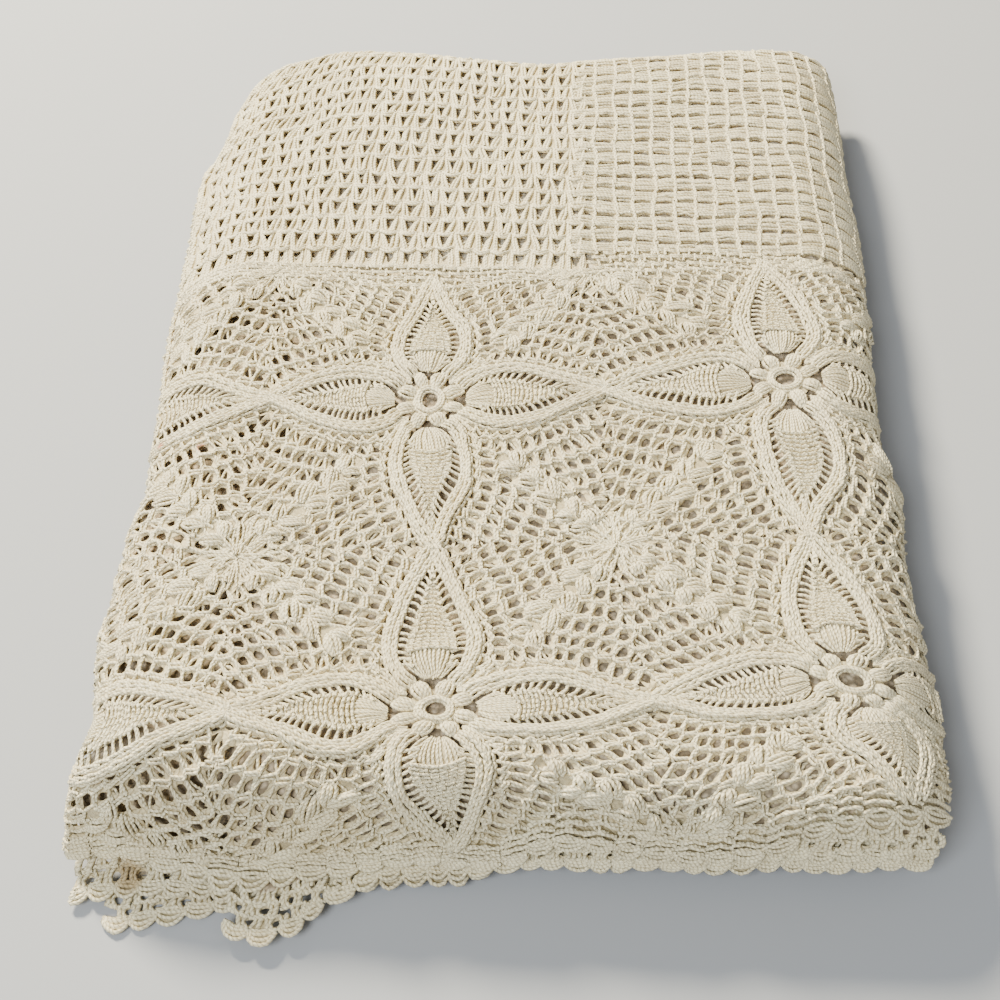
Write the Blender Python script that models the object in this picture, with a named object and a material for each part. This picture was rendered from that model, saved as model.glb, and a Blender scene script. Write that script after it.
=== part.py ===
"""Crochet bedspread, folded into a flat stack.

One cloth, one solid.  Across the stack the cloth is folded back and forth into four
layers (the section below).  That four-layer run is then laid back and forth from front to
back four times (the path below), which gives sixteen layers.  The top run ends at the
front, where its scalloped hem droops over the front edge of the stack and its lowest
layers reach the surface that the stack lies on.

Axes: +X right, +Y to the back, +Z up.  Metres.  Origin: middle of the underside.
"""
import bpy
import bmesh
import numpy as np
from math import pi, cos, sin, radians

# ---------------------------------------------------------------- driving sizes
SQUARE = 0.180          # side of one crocheted flower square; other sizes follow from it
PITCH = 0.0040          # from one layer to the next
CLOTH = 0.0024          # thickness of the crochet
LAYERS = 4              # layers in one run
RUNS = 4                # runs on top of each other
RUN = LAYERS * PITCH    # height of one run
HALF_W = 0.1855         # half the folded width
FRONT = -0.195          # y where the top run starts to bend over the front edge
BACK = 0.284            # y where the runs start to turn at the back
LOW_FRONT = FRONT + 0.002   # y where the lower runs turn at the front
TURN = radians(72)      # how steeply the top run hangs over the front edge
R_TOP = 0.026           # bend over the front edge, at the middle of the run
R_FOOT = 0.015          # bend where its lowest layers meet the surface
R_TURN = RUN / 2        # back and front turns between runs
FOOT = 0.040            # flat length in front of the foot bend
MIDDLE = (-0.0029, 0.0262)   # middle of the stack in the layout below

LOWEST = CLOTH / 2 + 1.5 * PITCH            # middle of the lowest run above the surface
LEVEL = [LOWEST + RUN * k for k in range(RUNS)]
FOOT_LEVEL = LOWEST + 0.0005
SLOPE = (LEVEL[3] - FOOT_LEVEL - (R_TOP + R_FOOT) * (1 - cos(TURN))) / sin(TURN)

# ---------------------------------------------------------------- short tables, millimetres
# outline of the stack: y, left side out, right side out
OUTLINE = [
    (-290, 8, 10), (-230, 8, 10), (-205, 2, 10), (-186, -4, 10), (-165, 2, 9), (-140, 7, 8),
    (-115, 6, 6), (-90, 6, 4), (-70, 4, 3), (-55, 0, 5), (-35, 2, 5), (-10, 3, -2),
    (20, 5, -4), (60, 9, -1), (100, 10, 1), (150, 12, 2), (200, 13, 0), (230, 3, 1),
    (260, -1, 2), (310, -26, 5)]
# back edge: x, how far it sits behind its mean line
BACK_EDGE = [
    (-200, -38), (-178, -32), (-165, -25), (-150, -16), (-120, -2), (-90, 0), (-60, -3),
    (-30, -8), (0, -10), (40, -3), (80, 4), (110, 9), (140, 13), (165, 14), (200, 17)]
# sideways shift of the runs: distance along the run, left side out, right side out
RUN_SHIFT = [
    (-112, 0, 0), (0, 0, 0), (465, 0, 0), (520, 2, -3), (960, 1, -4), (1020, -2, 1),
    (1465, -1, 2), (1515, -4, -2), (1985, -3, -4)]
# where each layer of the top run ends at the front: layer (1 on top), x, end along the run
HEM = [
    (1, -186, -63), (1, -169, -62), (1, -153, -66), (1, -143, -70), (1, -124, -75),
    (1, -108, -77), (1, -92, -73.5), (1, -67, -67), (1, -43, -60), (1, -25, -58),
    (1, -11, -60), (1, 2, -55), (1, 12, -47), (1, 35, -41.5), (1, 62, -45.5), (1, 83, -48.5),
    (1, 97, -44.5), (1, 110, -42), (1, 122, -34), (1, 142, -28), (1, 165, -22), (1, 184, -17),
    (2, -117, -88), (2, -111, -98), (2, -103, -101), (2, -92, -97), (2, -77, -85),
    (2, -61, -73), (2, -53, -70), (2, -20, -66), (2, 6, -62), (2, 35, -59.5), (2, 60, -58.5),
    (2, 92, -56), (2, 110, -50), (2, 124, -46), (2, 136, -47), (2, 147, -44), (2, 159, -43),
    (2, 169, -40), (2, 184, -32),
    (3, -186, -85), (3, -172, -81), (3, -120, -78), (3, -60, -72), (3, -37, -70.5),
    (3, -20, -68), (3, 0, -63), (3, 60, -61), (3, 100, -60), (3, 127, -58), (3, 165, -55),
    (3, 184, -51),
    (4, -168, -90), (4, -163, -95), (4, -155, -95), (4, -143, -92), (4, -133, -89),
    (4, -124, -85), (4, -112, -80), (4, -70, -68), (4, 0, -58), (4, 100, -56), (4, 184, -54)]

SIDE_DROP = 0.24        # how far the sides of the stack sink, as a share of its height
SIDE_BAND = 0.034       # width of the band that sinks
BACK_DROP = 0.10
UNEVEN = 0.020          # gentle humps of the stack, as a share of its height
THIN_FOOT = 0.35        # how much flatter the layers lie at the foot


def read(rows, key, column):
    """Smooth reading of a table whose rows are in millimetres."""
    t = np.array(rows, float) * 0.001
    k, v = t[:, 0], t[:, column]
    key = np.clip(np.asarray(key, float), k[0], k[-1])
    i = np.clip(np.searchsorted(k, key, side="right") - 1, 0, len(k) - 2)
    h = k[i + 1] - k[i]
    u = (key - k[i]) / h
    m = np.gradient(v, k)
    return ((1 + 2 * u) * (1 - u) ** 2 * v[i] + u * (1 - u) ** 2 * h * m[i]
            + u * u * (3 - 2 * u) * v[i + 1] + u * u * (u - 1) * h * m[i + 1])


def hem(layer, x):
    """Where a layer of the top run ends."""
    return read([r[1:] for r in HEM if r[0] == layer], x, 1)


# ---------------------------------------------------------------- path, front to back and again
def pieces():
    """name, length, turn (radians), radius"""
    return [
        ("foot", FOOT, 0, 0),
        ("foot bend", R_FOOT * TURN, TURN, R_FOOT),
        ("slope", SLOPE, 0, 0),
        ("front bend", R_TOP * TURN, -TURN, R_TOP),
        ("run 1", BACK - FRONT, 0, 0),
        ("back turn", R_TURN * pi, -pi, R_TURN),
        ("run 2", BACK - LOW_FRONT, 0, 0),
        ("front turn", R_TURN * pi, pi, R_TURN),
        ("run 3", BACK - LOW_FRONT - 0.004, 0, 0),
        ("lower back turn", R_TURN * pi, -pi, R_TURN),
        ("run 4", BACK - LOW_FRONT + 0.002, 0, 0)]


PIECES = pieces()
LENGTH = np.array([p[1] for p in PIECES])
STARTS = np.concatenate([[0.0], np.cumsum(LENGTH)]) - LENGTH[:4].sum()   # 0 where run 1 starts


def step(pose, piece, d):
    """Pose (y, z, heading) after going d along a piece."""
    y, z, h = pose
    if piece[2] == 0:
        return y + d * np.cos(h), z + d * np.sin(h), h + 0 * d
    k = np.sign(piece[2]) / piece[3]
    g = h + k * d
    return y + (np.sin(g) - np.sin(h)) / k, z - (np.cos(g) - np.cos(h)) / k, g


def poses():
    """Pose at the start of each piece."""
    out = [None] * len(PIECES)
    out[4] = (FRONT, LEVEL[3], 0.0)
    for i in range(5, len(PIECES)):
        out[i] = step(out[i - 1], PIECES[i - 1], LENGTH[i - 1])
    for i in (3, 2, 1, 0):                       # backwards, down over the front
        name, length, turn, radius = PIECES[i]
        y, z, h = out[i + 1]
        out[i] = step((y, z, h), (name, length, turn, radius), -length)
    return out


POSES = poses()


def path(t):
    t = np.asarray(t, float)
    y, z, h = np.zeros_like(t), np.zeros_like(t), np.zeros_like(t)
    which = np.clip(np.searchsorted(STARTS, t, side="right") - 1, 0, len(PIECES) - 1)
    for i, piece in enumerate(PIECES):
        m = which == i
        if m.any():
            y[m], z[m], h[m] = step(POSES[i], piece, t[m] - STARTS[i])
    return y, z, h


# ---------------------------------------------------------------- section, one run of four layers
X_LEFT = -(HALF_W - 1.0 * PITCH)     # left wrap, layer 3 to layer 1, radius of one pitch
X_RIGHT = HALF_W - 1.5 * PITCH       # right wrap, layer 1 to layer 4, and the fold inside it
FREE_2 = -0.116                      # free side edge of layer 2, inside the stack
FREE_4 = -0.168                      # free side edge of layer 4, underneath
ACROSS = [-0.172, -0.152, -0.122, -0.092, -0.052, 0.000, 0.060, 0.110, 0.145, 0.168]


def height(layer):
    return (LAYERS - layer + 0.5) * PITCH


def section():
    """Rows of x, height, direction of the upper side, front end: one side edge to the other."""
    rows = []

    def flat(layer, x0, x1):
        up = 1 if x1 > x0 else -1
        inner = sorted([x for x in ACROSS if min(x0, x1) < x < max(x0, x1)], reverse=up < 0)
        for x in [x0] + inner + [x1]:
            rows.append((x, height(layer), 0.0 if up > 0 else pi, float(hem(layer, x))))

    def fold(x, layer_a, layer_b, side, steps):
        r = abs(height(layer_a) - height(layer_b)) / 2
        mid = (height(layer_a) + height(layer_b)) / 2
        ea, eb = float(hem(layer_a, x)), float(hem(layer_b, x))
        for i in range(1, steps):
            q = pi * i / steps
            if side > 0:
                rows.append((x + r * sin(q), mid + r * cos(q), q, ea + (eb - ea) * i / steps))
            else:
                rows.append((x - r * sin(q), mid - r * cos(q), q + pi, ea + (eb - ea) * i / steps))

    flat(2, FREE_2, X_RIGHT)
    fold(X_RIGHT, 2, 3, 1, 4)
    flat(3, X_RIGHT, X_LEFT)
    fold(X_LEFT, 3, 1, -1, 5)
    flat(1, X_LEFT, X_RIGHT)
    fold(X_RIGHT, 1, 4, 1, 6)
    flat(4, X_RIGHT, FREE_4)
    return np.array(rows)


# ---------------------------------------------------------------- unevenness
def humps(x, y):
    return (0.35 * np.sin(x * 31 + 0.6) * np.sin(y * 23 - 0.4) + 0.30 * np.sin(x * 52 - y * 37 + 1.1)
            + 0.22 * np.sin(x * 19 + y * 64 + 2.0) + 0.2 * np.sin(x * 90 + 0.3) * np.sin(y * 75 + 1.0))


def settle(x, y, z, t):
    """Even stack to the uneven one: outline, back edge, sunken sides, humps."""
    q = np.clip(x / HALF_W, -1.2, 1.2)
    wl, wr = np.where(q < 0, q * q, 0), np.where(q > 0, q * q, 0)
    x2 = x - (read(OUTLINE, y, 1) + read(RUN_SHIFT, t, 1)) * wl
    x2 = x2 + (read(OUTLINE, y, 2) + read(RUN_SHIFT, t, 2)) * wr
    g = np.clip((y - (BACK - 0.150)) / 0.150, 0, 1.3)
    y2 = y + read(BACK_EDGE, x2, 1) * g * g
    d = np.clip((np.abs(x2) - (HALF_W - SIDE_BAND)) / SIDE_BAND, 0, 1.25)
    e = np.clip((y2 - (BACK - 0.030)) / 0.045, 0, 1)
    z2 = z * (1 - SIDE_DROP * d * d) * (1 - BACK_DROP * e * e) * (1 + UNEVEN * humps(x2, y2))
    return x2 - MIDDLE[0], y2 - MIDDLE[1], z2


def place(x, n, t):
    """Section point (x, height n) at distance t along the path, in space."""
    y0, z0, h = path(t)
    a = np.clip((-0.050 - t) / 0.045, 0, 1)
    k = n * (1 - THIN_FOOT * a * a * (3 - 2 * a)) - RUN / 2
    return settle(x, y0 - np.sin(h) * k, z0 + np.cos(h) * k, t)


def stations():
    """Distances along the path behind JOIN."""
    out = []
    for i in range(4, len(PIECES)):
        name, length, turn, radius = PIECES[i]
        if turn:
            shares = (0, 0.25, 0.5, 0.75)
        elif name == "run 1":
            length, start = length - JOIN, JOIN
            out += [start + length * s for s in (0, 0.22, 0.5, 0.74, 0.9)]
            continue
        else:
            shares = (0, 0.12, 0.32) if turn_before(i) else (0, 0.68, 0.88)
        out += [STARTS[i] + length * s for s in shares]
    return out + [STARTS[-1]]


def turn_before(i):
    """True where the run starts at the back."""
    return POSES[i][0] > 0


JOIN = 0.012
# stations over the front and down to the foot; a layer that ends earlier gathers them at its hem
DROOP = [-0.098, -0.086, -0.077, -0.070, -0.0635, -0.057, -0.051, -0.042, -0.0327,
         -0.026, -0.0195, -0.013, -0.0065, 0.0]
GATHER = 0.0004


def bedspread():
    rows = section()
    x, n, up, end = rows.T
    ring = []
    for side in (1, -1):                         # upper face of the strip, then its lower face
        xs = x + np.sin(up) * side * CLOTH / 2
        ns = n + np.cos(up) * side * CLOTH / 2
        order = slice(None) if side > 0 else slice(None, None, -1)
        ring.append(np.stack([xs[order], ns[order], end[order]], 1))
    ring = np.concatenate(ring)
    loops = []
    for k, row in enumerate([-1.0] + DROOP):
        t = np.maximum(row, ring[:, 2] + GATHER * k)
        loops.append(np.stack(place(ring[:, 0], ring[:, 1], t), 1))
    for t in stations():
        loops.append(np.stack(place(ring[:, 0], ring[:, 1], np.full(len(ring), t)), 1))

    bm = bmesh.new()
    made = [[bm.verts.new(p) for p in loop] for loop in loops]
    count = len(ring)
    for a, b in zip(made, made[1:]):
        for i in range(count):
            j = (i + 1) % count
            bm.faces.new((a[i], a[j], b[j], b[i]))
    half = count // 2
    for loop, flip in ((made[0], True), (made[-1], False)):   # close the two hems, strip-wise
        for i in range(half - 1):
            f = (loop[i], loop[i + 1], loop[count - 2 - i], loop[count - 1 - i])
            bm.faces.new(f[::-1] if flip else f)
    bmesh.ops.recalc_face_normals(bm, faces=bm.faces)
    bmesh.ops.triangulate(bm, faces=bm.faces)
    mesh = bpy.data.meshes.new("bedspread")
    bm.to_mesh(mesh)
    bm.free()
    mesh.shade_smooth()
    mesh.set_sharp_from_angle(angle=radians(50))
    return mesh


def cotton():
    mat = bpy.data.materials.new("cream_cotton")
    mat.use_nodes = True
    p = mat.node_tree.nodes["Principled BSDF"]
    p.inputs["Base Color"].default_value = (0.74, 0.67, 0.56, 1)
    p.inputs["Roughness"].default_value = 0.9
    p.inputs["Metallic"].default_value = 0.0
    mat.diffuse_color = (0.74, 0.67, 0.56, 1)
    return mat


def main():
    for ob in list(bpy.data.objects):
        bpy.data.objects.remove(ob, do_unlink=True)
    ob = bpy.data.objects.new("bedspread", bedspread())
    ob.data.materials.append(cotton())
    bpy.context.scene.collection.objects.link(ob)


main()
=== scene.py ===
"""Crochet bedspread, folded: the visual model on the frame.

The cloth is drawn stitch by stitch.  Yarn runs are short curves in the cloth's own flat
coordinates: s across the top layer, t along it from the front bend to the back, w height
over the middle of the layer.  fold() lays them on the folds of the stack, and tubes() gives
them their thickness.  Layers that only show through the openwork are one folded sheet.
"""
from math import pi, cos, sin, radians

import bpy
import numpy as np
from mathutils import Matrix, Vector


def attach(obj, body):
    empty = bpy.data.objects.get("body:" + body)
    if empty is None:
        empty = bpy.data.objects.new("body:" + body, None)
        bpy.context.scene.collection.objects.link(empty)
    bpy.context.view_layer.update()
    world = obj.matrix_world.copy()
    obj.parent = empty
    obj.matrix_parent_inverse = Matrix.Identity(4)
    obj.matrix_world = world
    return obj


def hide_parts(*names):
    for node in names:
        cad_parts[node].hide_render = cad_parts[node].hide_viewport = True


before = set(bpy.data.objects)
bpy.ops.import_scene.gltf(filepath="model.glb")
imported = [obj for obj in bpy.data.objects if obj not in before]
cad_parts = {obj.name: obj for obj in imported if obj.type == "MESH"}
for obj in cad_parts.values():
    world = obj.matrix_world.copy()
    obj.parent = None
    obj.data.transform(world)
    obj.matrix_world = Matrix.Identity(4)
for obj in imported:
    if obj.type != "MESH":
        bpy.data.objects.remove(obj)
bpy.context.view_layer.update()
rng = np.random.default_rng(7)

# ---------------------------------------------------------------- sizes and folds, as in the part
SQUARE = 0.180          # side of one crocheted flower square; other sizes follow from it
PITCH = 0.0040          # from one layer to the next
CLOTH = 0.0024          # thickness of the crochet
LAYERS = 4              # layers in one run
RUNS = 4                # runs on top of each other
RUN = LAYERS * PITCH    # height of one run
HALF_W = 0.1855         # half the folded width
FRONT = -0.195          # y where the top run starts to bend over the front edge
BACK = 0.284            # y where the runs start to turn at the back
LOW_FRONT = FRONT + 0.002   # y where the lower runs turn at the front
TURN = radians(72)      # how steeply the top run hangs over the front edge
R_TOP = 0.026           # bend over the front edge, at the middle of the run
R_FOOT = 0.015          # bend where its lowest layers meet the surface
R_TURN = RUN / 2        # back and front turns between runs
FOOT = 0.040            # flat length in front of the foot bend
MIDDLE = (-0.0029, 0.0262)   # middle of the stack in the layout below

LOWEST = CLOTH / 2 + 1.5 * PITCH            # middle of the lowest run above the surface
LEVEL = [LOWEST + RUN * k for k in range(RUNS)]
FOOT_LEVEL = LOWEST + 0.0005
SLOPE = (LEVEL[3] - FOOT_LEVEL - (R_TOP + R_FOOT) * (1 - cos(TURN))) / sin(TURN)

# ---------------------------------------------------------------- short tables, millimetres
# outline of the stack: y, left side out, right side out
OUTLINE = [
    (-290, 8, 10), (-230, 8, 10), (-205, 2, 10), (-186, -4, 10), (-165, 2, 9), (-140, 7, 8),
    (-115, 6, 6), (-90, 6, 4), (-70, 4, 3), (-55, 0, 5), (-35, 2, 5), (-10, 3, -2),
    (20, 5, -4), (60, 9, -1), (100, 10, 1), (150, 12, 2), (200, 13, 0), (230, 3, 1),
    (260, -1, 2), (310, -26, 5)]
# back edge: x, how far it sits behind its mean line
BACK_EDGE = [
    (-200, -38), (-178, -32), (-165, -25), (-150, -16), (-120, -2), (-90, 0), (-60, -3),
    (-30, -8), (0, -10), (40, -3), (80, 4), (110, 9), (140, 13), (165, 14), (200, 17)]
# sideways shift of the runs: distance along the run, left side out, right side out
RUN_SHIFT = [
    (-112, 0, 0), (0, 0, 0), (465, 0, 0), (520, 2, -3), (960, 1, -4), (1020, -2, 1),
    (1465, -1, 2), (1515, -4, -2), (1985, -3, -4)]
# where each layer of the top run ends at the front: layer (1 on top), x, end along the run
HEM = [
    (1, -186, -63), (1, -169, -62), (1, -153, -66), (1, -143, -70), (1, -124, -75),
    (1, -108, -77), (1, -92, -73.5), (1, -67, -67), (1, -43, -60), (1, -25, -58),
    (1, -11, -60), (1, 2, -55), (1, 12, -47), (1, 35, -41.5), (1, 62, -45.5), (1, 83, -48.5),
    (1, 97, -44.5), (1, 110, -42), (1, 122, -34), (1, 142, -28), (1, 165, -22), (1, 184, -17),
    (2, -117, -88), (2, -111, -98), (2, -103, -101), (2, -92, -97), (2, -77, -85),
    (2, -61, -73), (2, -53, -70), (2, -20, -66), (2, 6, -62), (2, 35, -59.5), (2, 60, -58.5),
    (2, 92, -56), (2, 110, -50), (2, 124, -46), (2, 136, -47), (2, 147, -44), (2, 159, -43),
    (2, 169, -40), (2, 184, -32),
    (3, -186, -85), (3, -172, -81), (3, -120, -78), (3, -60, -72), (3, -37, -70.5),
    (3, -20, -68), (3, 0, -63), (3, 60, -61), (3, 100, -60), (3, 127, -58), (3, 165, -55),
    (3, 184, -51),
    (4, -168, -90), (4, -163, -95), (4, -155, -95), (4, -143, -92), (4, -133, -89),
    (4, -124, -85), (4, -112, -80), (4, -70, -68), (4, 0, -58), (4, 100, -56), (4, 184, -54)]

SIDE_DROP = 0.24        # how far the sides of the stack sink, as a share of its height
SIDE_BAND = 0.034       # width of the band that sinks
BACK_DROP = 0.10
UNEVEN = 0.020          # gentle humps of the stack, as a share of its height
THIN_FOOT = 0.35        # how much flatter the layers lie at the foot


def read(rows, key, column):
    """Smooth reading of a table whose rows are in millimetres."""
    t = np.array(rows, float) * 0.001
    k, v = t[:, 0], t[:, column]
    key = np.clip(np.asarray(key, float), k[0], k[-1])
    i = np.clip(np.searchsorted(k, key, side="right") - 1, 0, len(k) - 2)
    h = k[i + 1] - k[i]
    u = (key - k[i]) / h
    m = np.gradient(v, k)
    return ((1 + 2 * u) * (1 - u) ** 2 * v[i] + u * (1 - u) ** 2 * h * m[i]
            + u * u * (3 - 2 * u) * v[i + 1] + u * u * (u - 1) * h * m[i + 1])


def hem(layer, x):
    """Where a layer of the top run ends."""
    return read([r[1:] for r in HEM if r[0] == layer], x, 1)


# ---------------------------------------------------------------- path, front to back and again
def pieces():
    """name, length, turn (radians), radius"""
    return [
        ("foot", FOOT, 0, 0),
        ("foot bend", R_FOOT * TURN, TURN, R_FOOT),
        ("slope", SLOPE, 0, 0),
        ("front bend", R_TOP * TURN, -TURN, R_TOP),
        ("run 1", BACK - FRONT, 0, 0),
        ("back turn", R_TURN * pi, -pi, R_TURN),
        ("run 2", BACK - LOW_FRONT, 0, 0),
        ("front turn", R_TURN * pi, pi, R_TURN),
        ("run 3", BACK - LOW_FRONT - 0.004, 0, 0),
        ("lower back turn", R_TURN * pi, -pi, R_TURN),
        ("run 4", BACK - LOW_FRONT + 0.002, 0, 0)]


PIECES = pieces()
LENGTH = np.array([p[1] for p in PIECES])
STARTS = np.concatenate([[0.0], np.cumsum(LENGTH)]) - LENGTH[:4].sum()   # 0 where run 1 starts


def step(pose, piece, d):
    """Pose (y, z, heading) after going d along a piece."""
    y, z, h = pose
    if piece[2] == 0:
        return y + d * np.cos(h), z + d * np.sin(h), h + 0 * d
    k = np.sign(piece[2]) / piece[3]
    g = h + k * d
    return y + (np.sin(g) - np.sin(h)) / k, z - (np.cos(g) - np.cos(h)) / k, g


def poses():
    """Pose at the start of each piece."""
    out = [None] * len(PIECES)
    out[4] = (FRONT, LEVEL[3], 0.0)
    for i in range(5, len(PIECES)):
        out[i] = step(out[i - 1], PIECES[i - 1], LENGTH[i - 1])
    for i in (3, 2, 1, 0):                       # backwards, down over the front
        name, length, turn, radius = PIECES[i]
        y, z, h = out[i + 1]
        out[i] = step((y, z, h), (name, length, turn, radius), -length)
    return out


POSES = poses()


def path(t):
    t = np.asarray(t, float)
    y, z, h = np.zeros_like(t), np.zeros_like(t), np.zeros_like(t)
    which = np.clip(np.searchsorted(STARTS, t, side="right") - 1, 0, len(PIECES) - 1)
    for i, piece in enumerate(PIECES):
        m = which == i
        if m.any():
            y[m], z[m], h[m] = step(POSES[i], piece, t[m] - STARTS[i])
    return y, z, h


# ---------------------------------------------------------------- section, one run of four layers
X_LEFT = -(HALF_W - 1.0 * PITCH)     # left wrap, layer 3 to layer 1, radius of one pitch
X_RIGHT = HALF_W - 1.5 * PITCH       # right wrap, layer 1 to layer 4, and the fold inside it
FREE_2 = -0.116                      # free side edge of layer 2, inside the stack
FREE_4 = -0.168                      # free side edge of layer 4, underneath
ACROSS = [-0.172, -0.152, -0.122, -0.092, -0.052, 0.000, 0.060, 0.110, 0.145, 0.168]


def height(layer):
    return (LAYERS - layer + 0.5) * PITCH


# ---------------------------------------------------------------- unevenness
def humps(x, y):
    return (0.35 * np.sin(x * 31 + 0.6) * np.sin(y * 23 - 0.4) + 0.30 * np.sin(x * 52 - y * 37 + 1.1)
            + 0.22 * np.sin(x * 19 + y * 64 + 2.0) + 0.2 * np.sin(x * 90 + 0.3) * np.sin(y * 75 + 1.0))


def settle(x, y, z, t):
    """Even stack to the uneven one: outline, back edge, sunken sides, humps."""
    q = np.clip(x / HALF_W, -1.2, 1.2)
    wl, wr = np.where(q < 0, q * q, 0), np.where(q > 0, q * q, 0)
    x2 = x - (read(OUTLINE, y, 1) + read(RUN_SHIFT, t, 1)) * wl
    x2 = x2 + (read(OUTLINE, y, 2) + read(RUN_SHIFT, t, 2)) * wr
    g = np.clip((y - (BACK - 0.150)) / 0.150, 0, 1.3)
    y2 = y + read(BACK_EDGE, x2, 1) * g * g
    d = np.clip((np.abs(x2) - (HALF_W - SIDE_BAND)) / SIDE_BAND, 0, 1.25)
    e = np.clip((y2 - (BACK - 0.030)) / 0.045, 0, 1)
    z2 = z * (1 - SIDE_DROP * d * d) * (1 - BACK_DROP * e * e) * (1 + UNEVEN * humps(x2, y2))
    return x2 - MIDDLE[0], y2 - MIDDLE[1], z2


def place(x, n, t):
    """Section point (x, height n) at distance t along the path, in space."""
    y0, z0, h = path(t)
    a = np.clip((-0.050 - t) / 0.045, 0, 1)
    k = n * (1 - THIN_FOOT * a * a * (3 - 2 * a)) - RUN / 2
    return settle(x, y0 - np.sin(h) * k, z0 + np.cos(h) * k, t)



# ---------------------------------------------------------------- cloth coordinates
def around(s):
    """Top-layer arc s, carried on round both side wraps: x, height in the run, tilt."""
    s = np.asarray(s, float)
    x, n, a = s.copy(), np.full_like(s, 3.5 * PITCH), np.zeros_like(s)
    for side, edge, r, mid in ((1, X_RIGHT, 1.5 * PITCH, 2.0 * PITCH),
                               (-1, -X_LEFT, 1.0 * PITCH, 2.5 * PITCH)):
        m = side * s > edge
        q = np.clip((side * s[m] - edge) / r, 0, pi)
        rest = np.clip(side * s[m] - edge - pi * r, 0, None)
        x[m] = side * (edge + r * np.sin(q) - rest)
        n[m] = mid + r * np.cos(q)
        a[m] = side * q
    return x, n, a


def fold(s, t, w):
    """Cloth point to space."""
    s, t, w = np.broadcast_arrays(s, t, w)
    shape = s.shape
    s, t, w = (np.array(q, float).ravel() for q in (s, t, w))
    x, n, a = around(s)
    return np.stack(place(x + np.sin(a) * w, n + np.cos(a) * w, t), -1).reshape(shape + (3,))


# drift of the flower squares from an even lattice, half-square steps, millimetres
DRIFT_U, DRIFT_V = -0.5, -1.5
DRIFT_S = [[-2.3, 4.0, 10.1, 12.0], [-2.5, -1.0, 4.6, -2.1], [0.9, -0.4, -5.1, -4.3],
           [6.7, -1.9, -3.0, 2.0], [8.5, 1.9, -3.5, -0.1]]
DRIFT_T = [[6.1, 31.4, 30.9, 44.1], [-0.4, -1.7, 0.9, 7.4], [-7.0, -6.2, -5.6, -4.1],
           [-0.4, -3.3, 0.2, 4.6], [4.5, -8.8, -1.2, 0.7]]
SKEW = radians(4.4)             # how far the squares are turned on the stack
SHIFT = 0.2475 * SQUARE         # first flower's centre, left of the middle


def lattice(grid, u, v):
    """Smooth reading of a half-square lattice."""
    g = np.array(grid) * 0.001
    pu = np.clip((u - DRIFT_U) * 2, 0, g.shape[1] - 1.0001)
    pv = np.clip((v - DRIFT_V) * 2, 0, g.shape[0] - 1.0001)
    iu, iv = pu.astype(int), pv.astype(int)
    fu, fv = pu - iu, pv - iv

    def weights(f):
        return (-0.5 * f + f * f - 0.5 * f ** 3, 1 - 2.5 * f * f + 1.5 * f ** 3,
                0.5 * f + 2 * f * f - 1.5 * f ** 3, -0.5 * f * f + 0.5 * f ** 3)
    wu, wv = weights(fu), weights(fv)
    out = 0
    for j in range(4):
        row = np.clip(iv + j - 1, 0, g.shape[0] - 1)
        for i in range(4):
            out = out + wv[j] * wu[i] * g[row, np.clip(iu + i - 1, 0, g.shape[1] - 1)]
    return out


def squares(u, v):
    """Flower-square coordinates, in squares, to cloth s, t."""
    u, v = np.asarray(u, float), np.asarray(v, float)
    s = (u * cos(SKEW) - v * sin(SKEW)) * SQUARE - SHIFT + lattice(DRIFT_S, u, v)
    y = (u * sin(SKEW) + v * cos(SKEW)) * SQUARE + lattice(DRIFT_T, u, v)
    return s, y - FRONT


def wobble(s, t):
    """Small hand-made unevenness of the rows, metres."""
    a = 0.0007 * np.sin(s * 173 + 1.3 * np.sin(t * 91)) + 0.0006 * np.sin(t * 141 + s * 67 + 2.0)
    b = 0.0007 * np.sin(t * 187 + 1.1 * np.sin(s * 103)) + 0.0006 * np.sin(s * 129 - t * 83 + 0.7)
    a = a + 0.00025 * np.sin(s * 410 + t * 260 + 2.0 * np.sin(t * 190))
    b = b + 0.00025 * np.sin(t * 450 - s * 230 + 2.0 * np.sin(s * 210))
    return a, b


# ---------------------------------------------------------------- yarn
BACKING = 20                    # added to u on the patches between the strands, which the yarn material darkens with painted shade


class Yarn:
    """Collects yarn runs for one piece: (runs, points, s t w) with a radius."""

    def __init__(self, name):
        self.name, self.parts, self.sheets = name, [], []

    def add(self, pts, radius, fine=2, jitter=0.00012, sides=4, taper=0.0, flat=1.0):
        pts = np.asarray(pts, float)
        if len(pts) == 0:
            return
        n, k = pts.shape[:2]
        pts = pts + rng.normal(0, jitter, (n, 1, 3)) + rng.normal(0, jitter * 0.6, pts.shape)
        radius = np.broadcast_to(np.asarray(radius, float), (n, k)) \
            * (1 + rng.normal(0, 0.05, (n, 1)))
        if taper:
            radius = radius.copy()
            radius[:, 0] *= 1 - taper
            radius[:, -1] *= 1 - taper
        if fine > 1:
            pts, radius = finer(pts, fine), finer(radius[..., None], fine)[..., 0]
        self.parts.append((pts, radius, sides, flat))

    def close(self, grid, keep, strands):
        """A patch of close-lying strands: grid of points (along, across), kept points."""
        self.sheets.append((np.asarray(grid, float), keep, strands))


def finer(p, m):
    """Catmull-Rom through the points, m steps from one to the next."""
    n, k, c = p.shape
    e = np.concatenate([2 * p[:, :1] - p[:, 1:2], p, 2 * p[:, -1:] - p[:, -2:-1]], 1)
    out = []
    for j in range(k - 1):
        a, b, d, g = e[:, j], e[:, j + 1], e[:, j + 2], e[:, j + 3]
        for i in range(m):
            f = i / m
            out.append(0.5 * (2 * b + (d - a) * f + (2 * a - 5 * b + 4 * d - g) * f * f
                              + (3 * b - a - 3 * d + g) * f ** 3))
    out.append(p[:, -1])
    return np.stack(out, 1)


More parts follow.
